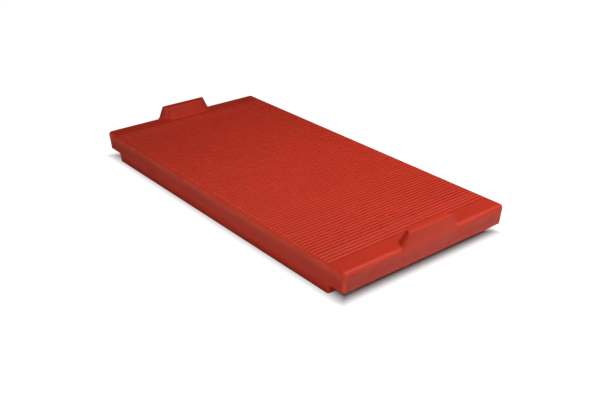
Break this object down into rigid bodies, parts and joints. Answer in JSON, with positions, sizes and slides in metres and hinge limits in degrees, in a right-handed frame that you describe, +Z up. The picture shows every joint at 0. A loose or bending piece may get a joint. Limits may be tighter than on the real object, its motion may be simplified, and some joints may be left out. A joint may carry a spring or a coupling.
{
  "type": "screen panel",
  "caption": "Flat cast polyurethane screen panel: a deck of cross bars with fine slots, lips at both ends that rest on rails, upright end tabs and open ribbed bays underneath.",
  "frame": {"origin": "centre of the underside, where the panel stands", "axes": "+X along the length, +Y along the bars and slots, +Z up out of the deck"},
  "size_m": [0.61, 0.304, 0.065],
  "materials": {
    "polyurethane": "satin"
  },
  "bodies": {
    "root": {"screen_panel": "polyurethane"}
  },
  "joints": []
}
